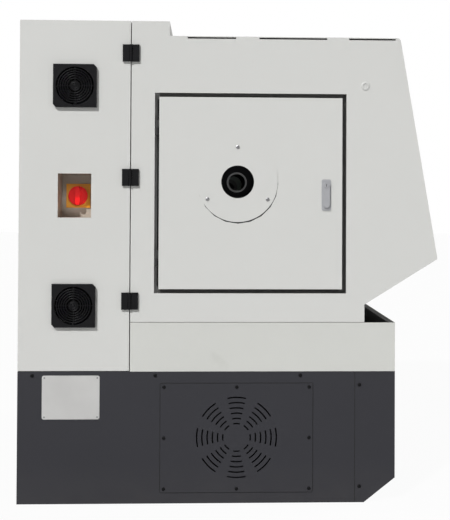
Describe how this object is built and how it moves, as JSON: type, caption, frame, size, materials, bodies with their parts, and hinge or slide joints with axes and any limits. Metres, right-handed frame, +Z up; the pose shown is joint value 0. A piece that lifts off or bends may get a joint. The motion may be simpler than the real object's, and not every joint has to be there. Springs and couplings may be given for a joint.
{
  "type": "cnc turning lathe",
  "caption": "Enclosed turning lathe with a rear electrical cabinet, leaning front with a sliding door, belt-driven hollow spindle, turret, tailstock, chip tray and dark base.",
  "frame": {"origin": "centre of the machine's box, on the floor", "axes": "+X along the spindle from the headstock end to the tailstock end, +Y to the rear, +Z up"},
  "size_m": [1.6, 1.2648, 1.45],
  "materials": {
    "panel_paint": "light grey powder coat, fine orange peel",
    "base_paint": "dark grey textured paint",
    "casting_paint": "painted casting",
    "machined_steel": "ground and turned steel",
    "lock_metal": "satin plated die casting",
    "motor_paint": "dark motor enamel",
    "black_plastic": "matt black moulded plastic",
    "drive_housing": "moulded housings on a plate",
    "screen_plastic": "dark display unit",
    "handle_plastic": "black moulded grip",
    "yellow_plastic": "yellow moulded plate",
    "red_plastic": "red moulded plastic",
    "green_plastic": "green moulded plastic",
    "belt_rubber": "black belt rubber",
    "clear_window": "clear safety sheet"
  },
  "bodies": {
    "machine_frame": {"base_cabinet": "base_paint", "base_front_cover": "base_paint", "motor_vent_cover": "base_paint", "chip_tray": "panel_paint", "cabinet_shell": "panel_paint", "rear_covers": "panel_paint", "drive_modules": "drive_housing", "left_end_panel": "panel_paint", "right_end_panel": "panel_paint", "roof_panel": "panel_paint", "front_frame": "panel_paint", "front_apron": "panel_paint", "inner_bulkhead": "panel_paint", "door_rails": "machined_steel", "control_panel": "panel_paint", "panel_screen": "screen_plastic", "bed": "casting_paint", "headstock": "casting_paint", "spindle_bearings": "machined_steel", "spindle_motor": "motor_paint", "drive_belts": "belt_rubber", "z_axis_brackets": "machined_steel", "z_servo_motor": "motor_paint", "coolant_tank": "machined_steel", "fixed_hinges": "black_plastic"},
    "spindle_unit": {"spindle": "machined_steel", "spindle_pulley": "machined_steel", "chuck_body": "machined_steel"},
    "jaw_1": {"chuck_jaw_1": "machined_steel"},
    "jaw_2": {"chuck_jaw_2": "machined_steel"},
    "jaw_3": {"chuck_jaw_3": "machined_steel"},
    "motor_rotor": {"motor_pulley": "machined_steel"},
    "carriage": {"saddle": "machined_steel", "x_servo_motor": "motor_paint"},
    "z_screw": {"z_ball_screw": "machined_steel"},
    "x_screw": {"x_ball_screw": "machined_steel"},
    "cross_slide": {"cross_slide": "machined_steel", "turret_base": "machined_steel"},
    "turret": {"turret_head": "machined_steel"},
    "tailstock": {"tailstock_body": "casting_paint"},
    "quill": {"tailstock_quill": "machined_steel"},
    "clamp_lever": {"tailstock_clamp_lever": "machined_steel"},
    "front_door": {"door_panel": "panel_paint", "door_window": "clear_window", "door_handle": "handle_plastic"},
    "spindle_door": {"spindle_door": "panel_paint", "spindle_cover": "panel_paint", "lock_body": "lock_metal"},
    "lock_handle": {"lock_handle": "lock_metal"},
    "cabinet_door": {"cabinet_end_door": "panel_paint", "cabinet_fans": "black_plastic", "isolator_plate": "yellow_plastic", "door_hinges": "black_plastic"},
    "main_switch": {"isolator_knob": "red_plastic"},
    "fan_upper": {"fan_rotor_upper": "black_plastic"},
    "fan_lower": {"fan_rotor_lower": "black_plastic"},
    "start_key": {"start_key": "green_plastic"},
    "stop_key": {"stop_key": "red_plastic"},
    "emergency_stop": {"emergency_stop": "red_plastic"},
    "pulse_wheel": {"pulse_wheel": "black_plastic"}
  },
  "joints": [
    {"name": "spindle_turn", "type": "hinge", "parent": "machine_frame", "child": "spindle_unit", "pos_m": [-0.318, -0.0235, 0.9659], "axis": [1, 0, 0], "continuous": true},
    {"name": "jaw_1_slide", "type": "slide", "parent": "spindle_unit", "child": "jaw_1", "axis": [0, 0, 1], "range_m": [-0.01, 0.008]},
    {"name": "jaw_2_slide", "type": "slide", "parent": "spindle_unit", "child": "jaw_2", "axis": [0, -0.866, -0.5], "range_m": [-0.01, 0.008]},
    {"name": "jaw_3_slide", "type": "slide", "parent": "spindle_unit", "child": "jaw_3", "axis": [0, 0.866, -0.5], "range_m": [-0.01, 0.008]},
    {"name": "motor_turn", "type": "hinge", "parent": "machine_frame", "child": "motor_rotor", "pos_m": [-0.684, -0.0235, 0.197], "axis": [1, 0, 0], "continuous": true},
    {"name": "carriage_slide", "type": "slide", "parent": "machine_frame", "child": "carriage", "axis": [1, 0, 0], "range_m": [-0.17, 0.17]},
    {"name": "z_screw_turn", "type": "hinge", "parent": "machine_frame", "child": "z_screw", "pos_m": [-0.3, -0.2065, 0.7], "axis": [1, 0, 0], "continuous": true},
    {"name": "cross_slide_travel", "type": "slide", "parent": "carriage", "child": "cross_slide", "axis": [0, 1, 0], "range_m": [-0.06, 0.08]},
    {"name": "x_screw_turn", "type": "hinge", "parent": "carriage", "child": "x_screw", "pos_m": [0.1, -0.232, 0.834], "axis": [0, 1, 0], "continuous": true},
    {"name": "turret_index", "type": "hinge", "parent": "cross_slide", "child": "turret", "pos_m": [0.1, -0.184, 0.9283], "axis": [0, 0, 1], "continuous": true},
    {"name": "tailstock_slide", "type": "slide", "parent": "machine_frame", "child": "tailstock", "axis": [1, 0, 0], "range_m": [-0.06, 0]},
    {"name": "quill_slide", "type": "slide", "parent": "tailstock", "child": "quill", "axis": [-1, 0, 0], "range_m": [0, 0.08]},
    {"name": "clamp_swing", "type": "hinge", "parent": "tailstock", "child": "clamp_lever", "pos_m": [0.555, -0.1725, 0.83], "axis": [0, 1, 0], "range_deg": [0, 60]},
    {"name": "front_door_slide", "type": "slide", "parent": "machine_frame", "child": "front_door", "axis": [1, 0, 0], "range_m": [0, 0.53]},
    {"name": "spindle_door_swing", "type": "hinge", "parent": "machine_frame", "child": "spindle_door", "pos_m": [-0.7835, 0.2209, 0.9317], "axis": [0, 0, -1], "range_deg": [0, 90]},
    {"name": "lock_turn", "type": "hinge", "parent": "spindle_door", "child": "lock_handle", "pos_m": [-0.788, -0.2922, 0.9564], "axis": [1, 0, 0], "range_deg": [0, 90]},
    {"name": "cabinet_door_swing", "type": "hinge", "parent": "machine_frame", "child": "cabinet_door", "pos_m": [-0.7938, 0.2992, 0.9224], "axis": [0, 0, 1], "range_deg": [0, 100]},
    {"name": "main_switch_turn", "type": "hinge", "parent": "cabinet_door", "child": "main_switch", "pos_m": [-0.6823, 0.46655, 0.9224], "axis": [1, 0, 0], "range_deg": [0, 90]},
    {"name": "fan_upper_turn", "type": "hinge", "parent": "cabinet_door", "child": "fan_upper", "pos_m": [-0.786, 0.46655, 1.2522], "axis": [1, 0, 0], "continuous": true},
    {"name": "fan_lower_turn", "type": "hinge", "parent": "cabinet_door", "child": "fan_lower", "pos_m": [-0.786, 0.46655, 0.5926], "axis": [1, 0, 0], "continuous": true},
    {"name": "start_press", "type": "slide", "parent": "machine_frame", "child": "start_key", "axis": [0, 0.9858, -0.1681], "range_m": [0, 0.003], "stiffness_N_per_m": 400},
    {"name": "stop_press", "type": "slide", "parent": "machine_frame", "child": "stop_key", "axis": [0, 0.9858, -0.1681], "range_m": [0, 0.003], "stiffness_N_per_m": 400},
    {"name": "emergency_press", "type": "slide", "parent": "machine_frame", "child": "emergency_stop", "axis": [0, 0.9858, -0.1681], "range_m": [0, 0.005], "stiffness_N_per_m": 600},
    {"name": "pulse_turn", "type": "hinge", "parent": "machine_frame", "child": "pulse_wheel", "pos_m": [0.695, -0.59421, 1.13651], "axis": [0, -0.9858, 0.1681], "continuous": true}
  ],
  "couplings": [
    {"joint": "jaw_2_slide", "follows": "jaw_1_slide", "ratio": 1},
    {"joint": "jaw_3_slide", "follows": "jaw_1_slide", "ratio": 1},
    {"joint": "motor_turn", "follows": "spindle_turn", "ratio": 1.4167},
    {"joint": "z_screw_turn", "follows": "carriage_slide", "rad_per_m": 628.32},
    {"joint": "x_screw_turn", "follows": "cross_slide_travel", "rad_per_m": 1256.6}
  ]
}
